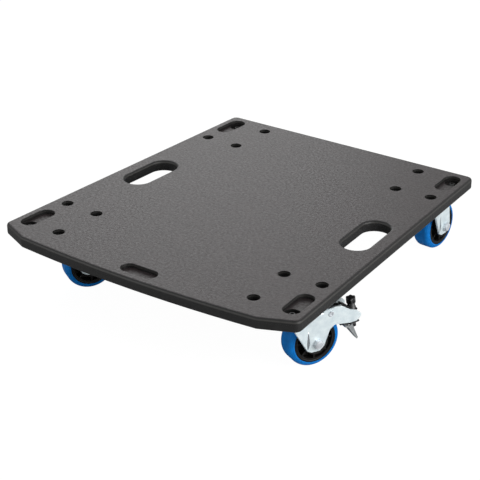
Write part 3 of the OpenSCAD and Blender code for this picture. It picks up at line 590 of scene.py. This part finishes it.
# %% Lever and screw
for caster in ("fr", "fl"):
    axes = axes_of(caster)
    mesh = bmesh.new()
    plate(mesh, axes, [cheek_rim, rivet_hole], -cheek_outside, -cheek_inside)
    plate(mesh, axes, [cheek_rim, rivet_hole], cheek_inside, cheek_outside)
    plate(mesh, axes, [channel_floor], -cheek_inside, cheek_inside)
    plate(mesh, axes, [screw_arm], -arm_half, arm_half)
    plate(mesh, axes, [spring_tab], -tab_half, tab_half)
    lever = piece("brake_lever_channel_" + caster, mesh, black_steel, "brake_" + caster,
                  smooth=False)
    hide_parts("brake_lever_" + caster)

    screw = axes @ Matrix.Translation(screw_foot) @ Matrix.Rotation(screw_tilt, 4, "Y")
    mesh = bmesh.new()
    # the shank, the six-sided nut under the leaf, and the flange and neck on the lever
    lathe(mesh, screw, [(0.05, 0), (3.7, 0), (4, 0.4), (4, 40), (0.05, 40)])
    lathe(mesh, screw, [(3.9, 1), (5.4, 1), (5.4, 8), (3.9, 8)], steps=6)
    lathe(mesh, screw, [(3.9, 29), (6.5, 29), (6.5, 31.4), (5.6, 31.8), (5.4, 39.2), (3.9, 39.4)])
    lobed_knob(mesh, screw, [(5.2, 38.8), (6.2, 39.4), (6.6, 40.4), (6.6, 46), (6.1, 46.9), (4.5, 47.35)],
               lobes=6, depth=0.13)
    knob = piece("brake_screw_knob_" + caster, mesh, black_screw, "brake_" + caster)
    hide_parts("brake_screw_" + caster)

    # the thread that shows between the leaf and the lever
    mesh = bmesh.new()
    thread(mesh, screw @ Matrix.Translation((0, 0, 10.6 * MM)), thread_r, thread_pitch, 18.0)
    piece("brake_screw_marks_" + caster, mesh, black_screw, "brake_" + caster)

# %% [markdown]
# Each folded side is highest where the tongue bends down and runs out at its tip, as a press leaves it. The
# bend is the furthest place along the trail where the tongue still has its full width.

# %% Folded sides of the tongue
fold_half, tip_half, fold_rise, tip_rise, tongue_sheet = 13.0, 3.5, 5.5, 0.6, 1.6
for caster in ("fr", "fl"):
    axes = axes_of(caster)
    inward = axes.inverted()
    corners = [(inward @ v.co) / MM for v in frame["nodes"]["release_tongue_" + caster].data.vertices]
    fold = max((c for c in corners if abs(c.y) > fold_half - 0.1), key=lambda c: (round(c.x, 1), c.z))
    tip = max(corners, key=lambda c: (round(c.x, 1), c.z))
    fold, tip = Vector((fold.x, fold.z)), Vector((tip.x, tip.z))
    along = (tip - fold).normalized()
    up = Vector((-along.y, along.x))
    mesh = bmesh.new()
    for side in (1, -1):
        folded_side(mesh, axes, side, [(fold, up, fold_half, fold_rise), (tip, up, tip_half, tip_rise)],
                    tongue_sheet)
    piece("tongue_sides_" + caster, mesh, tongue_steel_painted_shade, "brake_" + caster, smooth=False)
    print("fold", [round(c, 1) for c in fold], "tip", [round(c, 1) for c in tip])

# %% [markdown]
# ## Studio
# The board stands on white paper in a bright room. The camera sees the paper as white, except for a little of
# the object's own shade. What the coated edges mirror is the shaded paper near the board, so the paper counts
# as darker there.

# %% Floor and world
def studio_floor():
    """A pale floor that the camera sees as white, darkened there only where the object shades it; in
    reflections it is painted darker, as painted shade.
    """
    material, output = new_material("studio_paper")
    path = add(material, "LightPath")
    grain = add(material, "TexNoise", {"Scale": per_mm(3)})
    tone = ramp(material, grain.outputs["Fac"], [(0.3, linear("#dcdcdc")), (0.7, linear("#e2e2e2"))])
    # in reflections the paper is #a8a8a8 all over: painted shade for the shaded paper near the board
    seen = add(material, "MixRGB", {"Fac": path.outputs["Is Glossy Ray"], "Color1": tone,
                                    "Color2": linear("#a8a8a8")})
    paper = add(material, "BsdfDiffuse", {"Color": seen.outputs["Color"]})
    white = add(material, "Emission", {"Color": (1, 1, 1, 1), "Strength": 1.08})
    share = add(material, "Math", {0: path.outputs["Is Camera Ray"], 1: 0.9}, operation="MULTIPLY")
    mix = add(material, "MixShader", {0: share.outputs["Value"], 1: paper.outputs["BSDF"],
                                      2: white.outputs["Emission"]})
    material.node_tree.links.new(mix.outputs["Shader"], output.inputs["Surface"])
    return material


half_side, below = 8.0, 0.2 * MM
grid = bmesh.new()
bmesh.ops.create_grid(grid, x_segments=8, y_segments=8, size=half_side)
floor_mesh = bpy.data.meshes.new("floor")
grid.to_mesh(floor_mesh)
grid.free()
floor_mesh.materials.append(studio_floor())
floor = bpy.data.objects.new("floor", floor_mesh)
bpy.context.collection.objects.link(floor)
floor.location.z = cad_box[0][2] - below

world = bpy.data.worlds.new("studio")
bpy.context.scene.world = world
world.use_nodes = True
world.node_tree.nodes.clear()
path = add(world, "LightPath")
mirrored = spread(world, path.outputs["Is Glossy Ray"], 0, 1, 0.5, 0.6)
seen = add(world, "Math", {0: path.outputs["Is Camera Ray"], 1: path.outputs["Is Transmission Ray"]},
           operation="MAXIMUM")
strength = add(world, "Math", {0: seen.outputs["Value"], 1: mirrored}, operation="MAXIMUM")
background = add(world, "Background", {"Color": (1, 1, 1, 1), "Strength": strength.outputs["Value"]})
add(world, "OutputWorld", {"Surface": background.outputs["Background"]})
print("floor and world ready")

# %% [markdown]
# Three large soft lamps stand round the board, as in a product studio. The strongest is on the right, low and
# far off, and lights the board's right side and the forks. A weak one behind the board is mirrored by its top
# at a low angle, and the third lifts the shade on the left.

# %% Lamps
def lamp(name, place, target, size, power):
    """A square soft lamp that faces the target."""
    data = bpy.data.lights.new(name, "AREA")
    data.shape, data.size, data.energy = "SQUARE", size, power
    obj = bpy.data.objects.new(name, data)
    obj.location = place
    obj.rotation_euler = (Vector(target) - Vector(place)).to_track_quat("-Z", "Y").to_euler()
    bpy.context.collection.objects.link(obj)
    print(name, power, "W")


middle = (0.0, 0.0, 0.1)
lamp("back_panel", (-1.9, 2.1, 1.35), middle, 1.8, 16.0)
lamp("right_fill", (2.3, 0.1, 0.8), middle, 2.0, 58.0)
lamp("left_fill", (-1.4, -1.9, 0.6), middle, 1.8, 12.0)

# %% [markdown]
# The camera is the one that was fitted to the photograph: a pinhole whose place, direction and lens put the
# board's corners and its screw heads where the photograph has them.

# %% Camera
eye = Vector((1.10041, -1.59349, 1.01565))
view = Vector((-0.51678, 0.73287, -0.44253))
camera_data = bpy.data.cameras.new("camera")
camera_data.sensor_width = 36.0
camera_data.lens = 104.97
camera = bpy.data.objects.new("camera", camera_data)
camera.location = eye
camera.rotation_euler = view.to_track_quat("-Z", "Y").to_euler()
bpy.context.collection.objects.link(camera)
scene = bpy.context.scene
scene.camera = camera
scene.view_settings.view_transform = "Standard"
print("camera at", [round(c, 3) for c in eye], "with a lens of", camera_data.lens, "mm")
